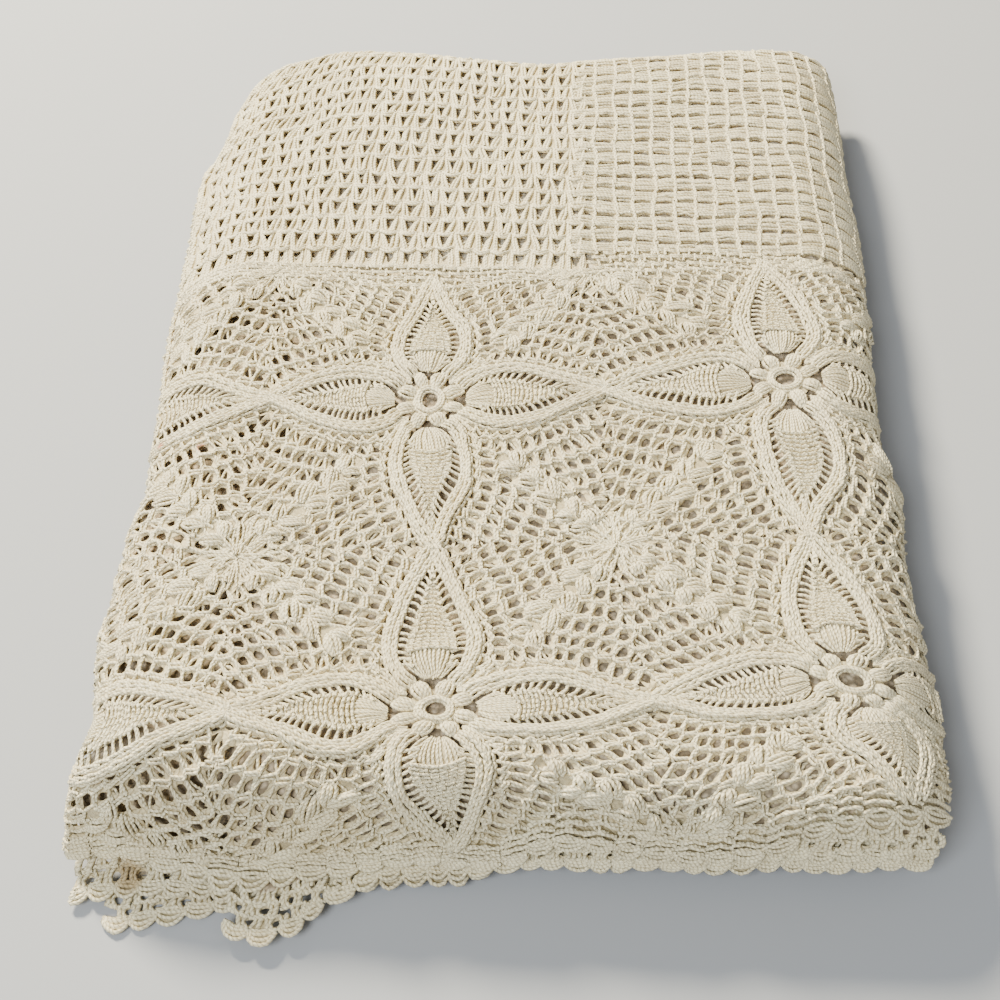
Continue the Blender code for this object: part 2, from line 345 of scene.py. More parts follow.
def tubes(points, radius, sides, flat, up):
    """Tubes round runs of points: vertices, quads, uv per corner."""
    n, k = points.shape[:2]
    d = np.empty_like(points)
    d[:, 1:-1] = points[:, 2:] - points[:, :-2]
    d[:, 0], d[:, -1] = points[:, 1] - points[:, 0], points[:, -1] - points[:, -2]
    length = np.linalg.norm(d, axis=-1, keepdims=True)
    d = d / np.maximum(length, 1e-9)
    side = np.empty_like(points)
    b = np.cross(d[:, 0], up)
    weak = np.linalg.norm(b, axis=-1) < 0.25
    b[weak] = np.cross(d[:, 0][weak], (0.3, 0.9, 0.1))
    for i in range(k):
        b = b - (b * d[:, i]).sum(-1, keepdims=True) * d[:, i]
        b = b / np.maximum(np.linalg.norm(b, axis=-1, keepdims=True), 1e-9)
        side[:, i] = b
    top = np.cross(side, d)
    q = 2 * pi * np.arange(sides) / sides
    v = (points[:, :, None] + radius[:, :, None, None]
         * (np.cos(q)[:, None] * side[:, :, None] + flat * np.sin(q)[:, None] * top[:, :, None]))
    run = np.concatenate([np.zeros((n, 1)), np.cumsum(
        np.linalg.norm(np.diff(points, axis=1), axis=-1), 1)], 1)
    i = np.arange(n * k * sides).reshape(n, k, sides)
    j = np.roll(i, -1, 2)
    quads = np.stack([i[:, :-1], j[:, :-1], j[:, 1:], i[:, 1:]], -1).reshape(-1, 4)
    along = (run * 100 + rng.random((n, 1)) * 7)[:, :, None] + np.zeros(sides)     # centimetres
    turn = np.arange(sides) / sides
    u0 = np.broadcast_to(turn, (n, k - 1, sides))
    u1 = u0 + 1 / sides
    lo, hi = along[:, :-1], along[:, 1:]
    uv = np.stack([np.stack([u0, lo], -1), np.stack([u1, lo], -1),
                   np.stack([u1, hi], -1), np.stack([u0, hi], -1)], 3).reshape(-1, 2)
    return v.reshape(-1, 3), quads, uv


def piece(yarn, material, body="root"):
    """One joined mesh from the collected yarn."""
    vs, qs, us, base = [], [], [], 0
    for pts, radius, sides, flat in yarn.parts:
        s, t, w = pts[..., 0], pts[..., 1], pts[..., 2]
        ds, dt = wobble(s, t)
        s, t = s + ds, t + dt
        p = fold(s, t, w)
        p[..., 2] = np.maximum(p[..., 2], radius + 0.0003)
        up = fold(s[:, 0], t[:, 0], w[:, 0] + 0.001) - p[:, 0]
        up /= np.maximum(np.linalg.norm(up, axis=-1, keepdims=True), 1e-9)
        v, q, u = tubes(p, radius, sides, flat, up)
        vs.append(v)
        qs.append(q + base)
        us.append(u)
        base += len(v)
    for grid, keep, strands in yarn.sheets:
        m, k = grid.shape[-3:-1]
        grid, keep = grid.reshape(-1, m, k, 3), keep.reshape(-1, m, k)
        ds, dt = wobble(grid[..., 0], grid[..., 1])
        p = fold(grid[..., 0] + ds, grid[..., 1] + dt, grid[..., 2])
        p[..., 2] = np.maximum(p[..., 2], 0.0004)
        i = np.arange(keep.size).reshape(keep.shape)
        ok = keep[:, :-1, :-1] & keep[:, :-1, 1:] & keep[:, 1:, 1:] & keep[:, 1:, :-1]
        quads = np.stack([i[:, :-1, :-1], i[:, :-1, 1:], i[:, 1:, 1:], i[:, 1:, :-1]], -1)[ok]
        if not len(quads):
            continue
        run = np.linalg.norm(np.diff(p[:, :, k // 2], axis=1), axis=-1).cumsum(1) * 100
        run = np.concatenate([0 * run[:, :1], run], 1)[:, :, None]
        uv = np.stack(np.broadcast_arrays(BACKING + np.linspace(0, strands, k)[None, None], run),
                      -1)
        used, inv = np.unique(quads, return_inverse=True)
        quads = inv.reshape(quads.shape)
        vs.append(p.reshape(-1, 3)[used])
        qs.append(quads + base)
        us.append(uv.reshape(-1, 2)[used][quads].reshape(-1, 2))
        base += len(used)
    return mesh_piece(yarn.name, np.concatenate(vs), np.concatenate(qs), np.concatenate(us),
                      material, body)


def mesh_piece(name, v, q, uv, material, body="root"):
    me = bpy.data.meshes.new(name)
    me.vertices.add(len(v))
    me.vertices.foreach_set("co", np.asarray(v, np.float32).ravel())
    me.loops.add(q.size)
    me.loops.foreach_set("vertex_index", np.asarray(q, np.int32).ravel())
    me.polygons.add(len(q))
    me.polygons.foreach_set("loop_start", np.arange(0, q.size, q.shape[1], dtype=np.int32))
    me.polygons.foreach_set("use_smooth", np.ones(len(q), bool))
    layer = me.uv_layers.new(name="UVMap")
    layer.data.foreach_set("uv", np.asarray(uv, np.float32).ravel())
    me.update(calc_edges=True)
    me.materials.append(material)
    ob = bpy.data.objects.new(name, me)
    bpy.context.scene.collection.objects.link(ob)
    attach(ob, body)
    print(name, len(q) * (q.shape[1] - 2), "triangles")
    return ob


# ---------------------------------------------------------------- runs along lines
class Line:
    """A polyline in flat coordinates, read by arc length."""

    def __init__(self, pts, smooth=0):
        p = np.asarray(pts, float)
        if smooth:
            p = finer(p[None], smooth)[0]
        self.p = p
        self.c = np.concatenate([[0], np.cumsum(np.linalg.norm(np.diff(p, axis=0), axis=1))])
        self.length = self.c[-1]

    def at(self, q, off=0.0):
        """Points at arc lengths q, set off to the left of the line."""
        q = np.asarray(q, float)
        h = self.length * 1e-3 + 1e-6
        x = np.stack([np.interp(q, self.c, self.p[:, i]) for i in (0, 1)], -1)
        a = np.stack([np.interp(q - h, self.c, self.p[:, i]) for i in (0, 1)], -1)
        b = np.stack([np.interp(q + h, self.c, self.p[:, i]) for i in (0, 1)], -1)
        d = b - a
        d = d / np.maximum(np.linalg.norm(d, axis=-1, keepdims=True), 1e-12)
        left = np.stack([-d[..., 1], d[..., 0]], -1)
        return x + left * np.asarray(off)[..., None]


def twisted(line, period, width, high, w0, strands=2, steps=4, start=0.0, stop=None):
    """A cord of strands twisted round each other: chunks one period long.  Flat units for
    the line, period and width; metres for heights."""
    stop = line.length if stop is None else stop
    n = max(1, int(round((stop - start) / period)))
    period = (stop - start) / n
    q = (np.arange(n)[:, None] + np.linspace(0, 1, steps + 1)[None]) * period + start
    out = []
    for i in range(strands):
        f = 2 * pi * (q - start) / period + 2 * pi * i / strands
        xy = line.at(q, width * np.sin(f))
        out.append(np.concatenate([xy, (w0 + high * np.cos(f))[..., None]], -1))
    return np.concatenate(out)


def chain(line, period, width, w0, high, start=0.0, stop=None, grow=1.9):
    """Chain stitches: V links that each start under the one before."""
    stop = line.length if stop is None else stop
    n = max(1, int(round((stop - start) / period)))
    period = (stop - start) / n
    q0 = start + np.arange(n)[:, None] * period
    shape_q = np.array([-0.10, 0.35, 0.95, 1.45, grow]) * period
    shape_o = np.array([0.25, 0.95, 0.90, 0.45, 0.05]) * width
    shape_w = np.array([-0.9, 0.2, 0.9, 0.9, 0.2]) * high + w0
    out = []
    for side in (1, -1):
        xy = line.at(q0 + shape_q, side * shape_o + 0 * q0)
        out.append(np.concatenate([xy, np.broadcast_to(shape_w, xy.shape[:2])[..., None]], -1))
    return np.concatenate(out)


def pairs(a, b, w_a, w_m, w_b, spread=0.0, steps=3, bow=0.0):
    """Straight runs from points a to points b; spread sets off two strands that cross."""
    a, b = np.asarray(a, float), np.asarray(b, float)
    f = np.linspace(0, 1, steps)[None, :, None]
    d = b - a
    left = np.stack([-d[:, 1], d[:, 0]], -1)
    left = left / np.maximum(np.linalg.norm(left, axis=-1, keepdims=True), 1e-12)
    mid = a[:, None] * (1 - f) + b[:, None] * f
    w = (w_a * (1 - f) ** 2 + 2 * (2 * w_m - 0.5 * w_a - 0.5 * w_b) * f * (1 - f) + w_b * f ** 2)
    out = []
    for side in ((1, -1) if spread else (0,)):
        off = side * spread * (1 - 2 * f) + bow * 4 * f * (1 - f)
        xy = mid + left[:, None] * off
        out.append(np.concatenate([xy, np.broadcast_to(w, xy.shape[:2] + (1,))
                                   + side * 0.0002 * (f - 0.5)], -1))
    return np.concatenate(out)


# ---------------------------------------------------------------- flower squares
RY = 0.00062                    # radius of one yarn
S_MIN, S_MAX = -0.1955, 0.1985  # as far as the yarn goes round the side wraps
EDGE_1 = 0.0135                 # depth of the scalloped edging on the top layer


def turn(p, k, mirror=False):
    """Quarter turns of square-local points, mirrored first if asked."""
    x, y = p[..., 0] * (-1 if mirror else 1), p[..., 1]
    c, s = (1, 0, -1, 0)[k % 4], (0, 1, 0, -1)[k % 4]
    return np.concatenate([(x * c - y * s)[..., None], (x * s + y * c)[..., None], p[..., 2:]], -1)


def arc(center, r, a0, a1, n):
    a = np.linspace(a0, a1, n)
    return np.stack([center[0] + r * np.cos(a), center[1] + r * np.sin(a)], -1)


def bundle(base, tip, wide, count, w0, w1, high, steps=4, end_wide=0.25):
    """A puff: strands side by side from base to tip, bulging sideways and up."""
    base, tip = np.array(base, float), np.array(tip, float)
    d = tip - base
    left = np.array([-d[1], d[0]]) / np.linalg.norm(d)
    f = np.linspace(0, 1, steps + 1)
    body = np.sin(pi * f)
    out = []
    for i in range(count):
        o = (i / (count - 1) - 0.5) * 2
        off = o * wide / 2 * (end_wide + (1 - end_wide) * body ** 0.7)
        xy = base + d * f[:, None] + left * off[:, None]
        w = w0 * (1 - f) + w1 * f + high * body * np.sqrt(max(0.0, 1 - 0.8 * o * o))
        out.append(np.concatenate([xy, w[:, None]], -1))
    return np.array(out)


ROUND = np.arange(9) * pi / 4
BOX = np.stack([np.cos(ROUND), np.sin(ROUND)], -1)
BOX = BOX / np.abs(BOX).max(-1, keepdims=True)
OVAL = np.stack([np.cos(ROUND), np.sin(ROUND)], -1)


def cells(hole, grow, w):
    """A square from -1 to 1 round an opening, as rings of eight sides: (n, rings, 9, 3)."""
    hole = np.asarray(hole, float)
    rings = [np.broadcast_to(BOX, hole.shape)] + [hole * g for g in grow]
    out = np.stack(rings, -3)
    h = np.broadcast_to(np.array(w, float)[:, None], out.shape[:-1])
    return np.concatenate([out, h[..., None]], -1)


# middle of a leaf's frame, from the ring to the leaf's tip
FRAME_LINE = [(0.045, 0.088), (0.066, 0.110), (0.086, 0.144), (0.097, 0.188), (0.0985, 0.225),
              (0.0930, 0.270), (0.080, 0.315), (0.062, 0.360), (0.042, 0.405), (0.0235, 0.445),
              (0.009, 0.480), (-0.003, 0.505)]
BODY = ([0.110, 0.125, 0.145, 0.165, 0.186, 0.230, 0.270, 0.310, 0.350, 0.390, 0.425],
        [0.016, 0.037, 0.051, 0.0575, 0.059, 0.055, 0.045, 0.032, 0.0195, 0.009, 0.002])


def flower():
    """Lists of (points, radius, options) in square-local coordinates, squares and metres."""
    out = []
    # padded ring: four turns of cord
    for r, w, rad in ((0.0300, 0.0008, 0.00085), (0.0360, 0.0018, 0.00090),
                      (0.0432, 0.0017, 0.00090), (0.0492, 0.0006, 0.00085)):
        turns = np.concatenate([arc((0, 0), r, i * pi / 4, (i + 1) * pi / 4, 4)[None]
                                for i in range(8)])
        out.append((np.concatenate([turns, np.full(turns.shape[:2] + (1,), w)], -1), rad,
                    dict(fine=1, jitter=0.00005)))
    # eight puffs round it
    for k in range(8):
        t = (k + 0.5) * pi / 4
        d = np.array([cos(t), sin(t)])
        out.append((bundle(d * 0.050, d * 0.103, 0.037, 5, 0.0002, 0.0003, 0.0023,
                           end_wide=0.45), RY * 1.5, dict(taper=0.1, fine=1)))
    a = np.linspace(0, 2 * pi, 41)
    r = np.array([0.047, 0.060, 0.073])[:, None]
    out.append((np.stack([r * np.cos(a), r * np.sin(a), 0.0002 + 0 * r * a], -1), 0,
                dict(close=60)))
    leaf = []
    # dome: strands fanning out of the hole between two puffs
    n = 13
    th = np.linspace(-1, 1, n)
    f = np.linspace(0, 1, 5)
    x = th[:, None] * (0.019 + 0.0375 * np.sin(f * pi / 2) ** 0.8)
    rim = 0.190 - 0.034 * np.abs(th[:, None]) ** 2.6
    y = 0.106 + (rim - 0.106) * f + 0.006 * th[:, None] ** 2 * np.sin(pi * f)
    w = 0.0002 + 0.0029 * np.sin(pi * (0.08 + f * 0.62)) * (1 - 0.35 * th[:, None] ** 2)
    leaf.append((np.stack([x, y, w], -1), np.linspace(0.75, 1.35, 5) * RY,
                 dict(fine=1, jitter=0.00016)))
    some = slice(None, None, 2)
    leaf.append((np.stack([x.T[:, some], y.T[:, some], w.T[:, some] - 0.0004], -1), 0,
                 dict(close=15)))
    ys = np.linspace(0.180, 0.425, 13)
    hw = np.interp(ys, *BODY)
    g = np.linspace(-1, 1, 5)
    leaf.append((np.stack([g[:, None] * hw, ys + 0 * g[:, None],
                           0.0024 - 0.0009 * g[:, None] ** 2 - 0.0012 * (ys - 0.18) / 0.245],
                          -1), 0,
                 dict(close=34)))
    # ribs across the body
    for i in range(20):
        y0 = 0.187 + 0.0120 * i
        hw = float(np.interp(y0, *BODY))
        xs = np.linspace(-hw, hw, 9)
        bend = 0.013 * hw / 0.059
        line = Line(np.stack([xs, y0 + bend * (1 - (xs / max(hw, 1e-6)) ** 2) - 0.4 * bend], -1))
        high = 0.0030 - 0.00011 * i + (0.0003 if i == 0 else 0.0)
        leaf.append((twisted(line, 0.0200, 0.0018, 0.0004, high, steps=3), RY * 1.22,
                     dict(fine=1)))
    # rungs to the frame
    fr = Line(FRAME_LINE, 4)
    for side in (1, -1):
        k = np.arange(16)
        g = k / 15
        yi = 0.143 + 0.0186 * k
        yo = yi + 0.004 + 0.036 * g
        hw = np.interp(yi, *BODY)
        xi = np.maximum(hw * 0.80 - 0.004, 0.0)
        xo = np.interp(yo, fr.p[:, 1], fr.p[:, 0]) - 0.0115
        a = np.stack([xi * side, yi - 0.004], -1)
        b = np.stack([np.maximum(xo, 0.001) * side, yo], -1)
        leaf.append((pairs(a, b, 0.0026, 0.0020, 0.0004, spread=0.0026, steps=3,
                           bow=0.003 * side), RY * 1.15, dict(fine=1)))
        # frames, two chains side by side
        line = Line([(x * side, y) for x, y in FRAME_LINE], 4)
        for off, hi in ((0.0094, 0.0016), (-0.0094, 0.0012)):
            if side > 0:
                off = -off
            leaf.append((chain(line_off(line, off), 0.0285, 0.0060, hi, 0.0012), RY * 1.34,
                         dict(fine=1)))
    for k in range(4):
        for p, r, o in leaf:
            out.append((turn(p, k), r, o))
        # fan between two leaves
        n = 7
        th = np.linspace(-1, 1, n)
        f = np.linspace(0, 1, 4)
        ang = pi / 4 + th * 0.62
        x = 0.062 + 0.072 * f * np.cos(ang[:, None])
        y = 0.062 + 0.072 * f * np.sin(ang[:, None])
        w = 0.0002 + 0.0010 * np.sin(pi * f * 0.9) + 0 * th[:, None]
        out.append((turn(np.stack([x, y, w], -1), k), RY * np.linspace(1.0, 1.6, 4),
                    dict(fine=1)))
    return out


def line_off(line, off):
    q = np.linspace(0, line.length, 40)
    return Line(line.at(q, off))


CELL, ROW = 0.0355, 0.0545      # openwork: post to post, row to row, in squares


def openings(n, width, height):
    """Uneven rounded openings, one side flatter: (n, 9, 2)."""
    size = np.stack([width * rng.uniform(0.70, 1.12, n), height * rng.uniform(0.66, 1.08, n)], -1)
    hole = OVAL * size[:, None]
    loose = rng.normal(0, 0.12, (n, 9))
    loose[:, 8] = loose[:, 0]
    hole = hole * (1 + loose)[..., None]
    side = hole[..., 0] * np.where(rng.random(n) < 0.5, 1, -1)[:, None] < 0
    hole[..., 0] *= np.where(side, 0.72, 1.0)
    return hole


def ground():
    """Openwork between the leaves and the edges of the square."""
    out = []
    d = np.array(FRAME_LINE[-1]) - np.array(FRAME_LINE[-2])
    d /= np.linalg.norm(d)
    fr = Line(finer(np.array(FRAME_LINE, float)[None], 4)[0].tolist()
              + [tuple(np.array(FRAME_LINE[-1]) + d * e) for e in (0.1, 0.2, 0.3, 0.4)])
    q = np.linspace(0, fr.length, 700)
    sway = 0.0058                                      # how far the rows run in and out
    offs = [0.0440 + ROW * k for k in range(8)]
    rows = []
    for k, off in enumerate(offs):
        lo = offs[k - 1] if k else 0.0160
        p = fr.at(q, -(lo + off) / 2)
        c = np.concatenate([[0], np.cumsum(np.linalg.norm(np.diff(p, axis=0), axis=1))])
        edge = np.interp(0.5, p[:, 1], c)
        at = edge - CELL * (np.arange(int(edge / CELL) + 1, -3, -1) + 0.5 * (k % 2))
        at = at[(at > 0) & (at < c[-1])]
        rows.append((lo, off, np.interp(at, c, q)))

    def sector(own):
        """One eighth of the square; own says if it has the stitches on the square's edge."""
        part = []
        top = 0.503 if own else 0.497

        def inside(p):
            return (p[..., 0] < p[..., 1] + 0.002) & (p[..., 1] < top) & (p[..., 0] > 0.004)

        for k, (lo, off, qs) in enumerate(rows):
            # posts, and close stitches round every opening
            a, b = fr.at(qs, -(lo + sway if k else 0.0195)), fr.at(qs + 0.004, -(off - sway))
            m = (a + b) / 2
            half = inside(a) & ~inside(b) & (a[:, 1] < 0.48)
            b[half] = a[half] * 0.35 + b[half] * 0.65
            ok = inside(m) | half
            if not ok.any():
                continue
            part.append((pairs(a[ok], b[ok], -0.0001, 0.0007, -0.0001, spread=0.0026, steps=3),
                         RY * 1.20, dict(fine=1, jitter=0.00026)))
            mid = fr.at((qs[1:] + qs[:-1]) / 2, -(lo + off) / 2 + 0 * qs[1:])
            j = np.where(inside(mid) | (inside(m)[1:] & (mid[:, 1] < 0.48)))[0]
            if len(j):
                dq = (qs[j + 1] - qs[j])[:, None, None]
                hh = (off - lo) / 2
                g = cells(openings(len(j), 0.80, (hh - 0.0085) / hh), (1.15, 0.98),
                          (0.0001, -0.0002, -0.0010))
                at = fr.at(qs[j][:, None, None] + dq * (g[..., 0] + 1) / 2 + 0.002 * g[..., 1],
                           -(off - hh + hh * g[..., 1]))
                part.append((np.concatenate([at, g[..., 2:]], -1), 0, dict(close=3)))
                some = j[rng.random(len(j)) < 0.45]        # strands seen behind some openings
                dq = qs[some + 1] - qs[some]
                flip = np.where(rng.random(len(some)) < 0.5, 1.0, -1.0)
                a2 = fr.at(qs[some] + dq * (0.5 - 0.25 * flip), -(lo + 0.006 + 0 * dq))
                b2 = fr.at(qs[some] + dq * (0.5 + 0.30 * flip), -(off - 0.008 + 0 * dq))
                part.append((pairs(a2, b2, -0.0013, -0.0009, -0.0013), RY * 1.2,
                             dict(fine=1, jitter=0.0006)))
            if k == 0:                                     # scallops along the frame
                e = np.linspace(-0.5, 0.5, 5)
                s = qs[:, None] + (e * 1.06 + 0.5)[None] * CELL
                arcs = np.stack([fr.at(row, -(0.0170 + 0.0065 * np.cos(pi * e))) for row in s])
                keep = inside(arcs[:, 2]) & (s[:, -1] < fr.length)
                h = 0.0007 + 0.0006 * np.cos(pi * e)
                arcs = np.concatenate([arcs, np.broadcast_to(h, arcs.shape[:2])[..., None]], -1)
                part.append((arcs[keep], RY * 1.4, dict(fine=1)))
            # cords between this row and the next, round the openings of both
            out_q = rows[k + 1][2] if k + 1 < len(rows) else (qs[1:] + qs[:-1]) / 2
            at_q = np.concatenate([qs + 0.004, out_q])
            at_o = np.concatenate([np.full(len(qs), off - sway),
                                   np.full(len(out_q), off + sway)])
            order = np.argsort(at_q)
            at_q, at_o = at_q[order], at_o[order] + rng.normal(0, 0.0010, len(order))
            beat = (-1.0) ** np.arange(len(at_q))
            for side in (-1, 1):
                xy = fr.at(at_q, -(at_o + side * 0.0042))
                w = 0.0006 + side * 0.0003 * beat
                run = finer(np.concatenate([xy, w[:, None]], -1)[None], 2)[0]
                first = np.minimum(np.arange(0, len(run) - 1, 4), len(run) - 5)
                run = run[first[:, None] + np.arange(5)]
                part.append((run[inside(run[:, 2])], RY * 1.32, dict(fine=1, jitter=0.00026)))
        return part

    for k in range(4):
        for m in (False, True):
            for p, r, o in sector(k in (0, 1)):
                out.append((turn(p, k, m), r, o))
        # pairs of puffs along the diagonal, meeting outwards like an ear of wheat
        for c, size in ((0.252, 0.95), (0.303, 1.05), (0.354, 1.05), (0.404, 1.0), (0.448, 0.85)):
            top = np.array([c, c]) + rng.normal(0, 0.003, 2)
            for e in (1, -1):
                a = 1.25 * pi + e * (0.60 + rng.normal(0, 0.07))
                d = np.array([cos(a), sin(a)])
                long = 0.066 * size * (1 + rng.normal(0, 0.08))
                out.append((turn(bundle(top + d * long, top + d * 0.006, 0.040 * size, 5, 0.0003,
                                        0.0008, 0.0021, end_wide=0.40), k), RY * 1.50,
                            dict(taper=0.25, fine=1, jitter=0.0003)))
        g = np.linspace(-1, 1, 4)
        c = np.linspace(0.200, 0.468, 8)
        half = np.interp(c, [0.200, 0.230, 0.44, 0.468], [0.010, 0.021, 0.024, 0.014])
        out.append((turn(np.stack([c[:, None] - half[:, None] * g * 0.7, c[:, None] + half[:, None]
                                   * g * 0.7, 0.0001 + 0 * c[:, None] * g], -1), k), 0,
                    dict(close=7)))
        # cords drawn together at the corner
        for j, e in enumerate((-0.60, -0.20, 0.20, 0.60)):
            a = 1.25 * pi + e + rng.normal(0, 0.05)
            d = np.array([cos(a), sin(a)])
            long = (0.098, 0.080, 0.088, 0.100)[j]
            p0 = np.array([0.5, 0.5]) + d * 0.006
            run = bundle(p0, p0 + d * long, 0.019, 3, 0.0003, 0.0001, 0.0004, end_wide=0.35)
            out.append((turn(run, k), RY * 1.08, dict(taper=0.2, fine=1, jitter=0.0005)))
        a = 1.25 * pi + np.linspace(-pi / 4, pi / 4, 6)
        r = np.array([0.0, 0.030, 0.052])[:, None]
        out.append((turn(np.stack([0.5 + r * np.cos(a), 0.5 + r * np.sin(a), 0.0 + 0 * r * a],
                                  -1), k), 0, dict(close=7)))
    return out


def lay_square(yarn, parts, u0, v0):
    """Put a square's runs on the cloth, without what falls off it or into the edging."""
    for p, r, o in parts:
        s, t = squares(p[..., 0] + u0, p[..., 1] + v0)
        q = np.stack([s, t, p[..., 2] + 0 * s], -1)
        if "close" in o:
            keep = (s > S_MIN) & (s < S_MAX)
            keep &= t > hem(1, np.clip(s, -0.184, 0.182)) + EDGE_1 - 0.001
            yarn.close(q, keep, o["close"])
            continue
        sm, tm = s.mean(1), t.mean(1)
        keep = (sm > S_MIN) & (sm < S_MAX)
        keep &= tm > hem(1, np.clip(sm, -0.184, 0.182)) + EDGE_1 - 0.002
        q = q[keep]
        if len(q):
            yarn.add(q, r, **o)


# ---------------------------------------------------------------- mesh panels
SEAM = 0.0318                   # s of the seam between the two panels
T_FOLD = BACK - FRONT           # where the top layer turns down at the back
# left panel: column number to s; rows 12.75 mm high from T_LEFT
COLUMNS = ([-16.0, -12.0, -10.0, -7.0, -3.0, 0.0, 7.0],
           [-0.1870, -0.1495, -0.1320, -0.1060, -0.0663, -0.0353, 0.0365])
T_LEFT, ROW_LEFT = 0.2890, 0.01275
# right panel: ridges 11.2 mm apart, slits 10.9 mm apart from T_RIGHT
S_RIGHT, RIDGE = 0.0369, 0.0112
T_RIGHT, SLIT = 0.3240, 0.01092


def ease(a):
    a = np.clip(a, 0, 1)
    return a * a * (3 - 2 * a)


def left_place(c, y):
    s = np.interp(c, *COLUMNS)
    t = T_LEFT + ROW_LEFT * y - 0.012 * ease((-0.100 - s) / 0.055) * np.clip(y / 5, 0.3, 1)
    return s, t


def right_place(c, y):
    s = S_RIGHT + RIDGE * c
    e = ease((s - 0.100) / 0.060)
    return s, T_RIGHT + y * (SLIT - 0.0006 * e) + 0.003 * e


def lay_left(yarn):
    i, j = np.meshgrid(np.arange(-17, 7), np.arange(0, 18))
    i, j = i.ravel(), j.ravel()
    odd, even, first = j % 2 == 1, (j % 2 == 0) & (j > 0), j == 0

    def put(points, w, sel, r=RY, loose=0.02, **o):
        pq = np.array(points, float)
        n = int(sel.sum())
        c = i[sel][:, None] + pq[None, :, 0] + rng.normal(0, loose, (n, 1))
        y = j[sel][:, None] + pq[None, :, 1] + rng.normal(0, loose * 0.8, (n, 1))
        s, t = left_place(c, y)
        q = np.stack([s, t, np.broadcast_to(np.array(w, float), s.shape)], -1)
        keep = (s.mean(1) > S_MIN) & (s.mean(1) < SEAM + 0.001) & (t.mean(1) < T_FOLD + 0.030)
        yarn.add(q[keep], r, **o)

    for e in (1, -1):
        for k, (x0, x1, x2) in enumerate(((0.075, 0.220, 0.335), (0.250, 0.370, 0.420))):
            h = (0.0004, 0.0008)[k]
            put([(x0 * e, 0.02), (x1 * e, 0.50), (x2 * e, 1.00)], [h, h + 0.0006, h], odd,
                RY * (1.75, 1.70)[k], sides=4, jitter=0.0002)
        for k, (x0, x1, x2) in enumerate(((0.075, 0.190, 0.280), (0.250, 0.340, 0.405))):
            h = (0.0004, 0.0008)[k]
            put([(x0 * e - 0.02, 0.02), (x1 * e, 0.50), (x2 * e + 0.02, 1.00)],
                [h, h + 0.0006, h], even, RY * (1.75, 1.70)[k], sides=4, jitter=0.0002)
        for x0 in (0.27, 0.37):
            put([(x0 * e, 0.0), (x0 * e, 0.50), (x0 * e + 0.02 * e, 1.00)],
                [0.0003, 0.0008, 0.0003], first, RY * 1.5, sides=4)
    for sel, f in ((odd, 1.0), (even, 0.72), (first, 0.75)):            # close stitches
        hole = np.array([(0.34, 0.12), (0.58, 0.72), (0.0, 0.74), (-0.58, 0.72), (-0.34, 0.12),
                         (-0.15, -0.30), (0.0, -0.42), (0.15, -0.30), (0.34, 0.12)]) \
            * np.array([f, 1.0])
        g = cells(np.broadcast_to(hole, (int(sel.sum()), 9, 2)), (1.0,), (0.0008, -0.0002))
        s, t = left_place(i[sel][:, None, None] + g[..., 0] / 2,
                          j[sel][:, None, None] + (g[..., 1] + 1) / 2)
        keep = (s > S_MIN) & (s < SEAM + 0.002) & (t < T_FOLD + 0.030)
        yarn.close(np.stack([s, t, g[..., 2]], -1), keep, 3)
    some = (rng.random(len(i)) < 0.75) & ~even         # strand seen behind the opening
    put([(-0.36, 0.62), (0.0, 0.40), (0.32, 0.66)], [-0.0006, -0.0004, -0.0006], some, RY * 1.35,
        loose=0.05, fine=1)
    some = (rng.random(len(i)) < 0.6) & even
    put([(-0.22, 0.66), (0.0, 0.30), (0.26, 0.60)], [-0.0006, -0.0004, -0.0006], some, RY * 1.3,
        loose=0.05, fine=1)
    for up in (0.0, 0.085):                            # chain hanging over the hole
        put([(-0.44, 1.02 + up), (-0.26, 0.87 + up), (0.0, 0.755 + up), (0.26, 0.87 + up),
             (0.44, 1.02 + up)], [0.0006, 0.0016, 0.0020, 0.0016, 0.0006], odd | first,
            RY * 1.4, sides=4)
    for up in (0.0, 0.09, 0.18):
        put([(-0.46, 0.97 + up), (-0.24, 0.86 + up), (0.0, 0.80 + up), (0.24, 0.86 + up),
             (0.46, 0.97 + up)], [0.0004, 0.0014, 0.0017, 0.0014, 0.0004], even,
            RY * 1.3, sides=4)
    # bottom line of the panel
    for k in range(2):
        f = np.linspace(-0.5, 0.5, 5)
        put(np.stack([f, -0.03 + 0.05 * np.sin(2 * pi * (f + k / 2))], -1),
            0.0006 + 0.0005 * np.cos(2 * pi * (f + k / 2)), first, RY * 1.2, loose=0.0)


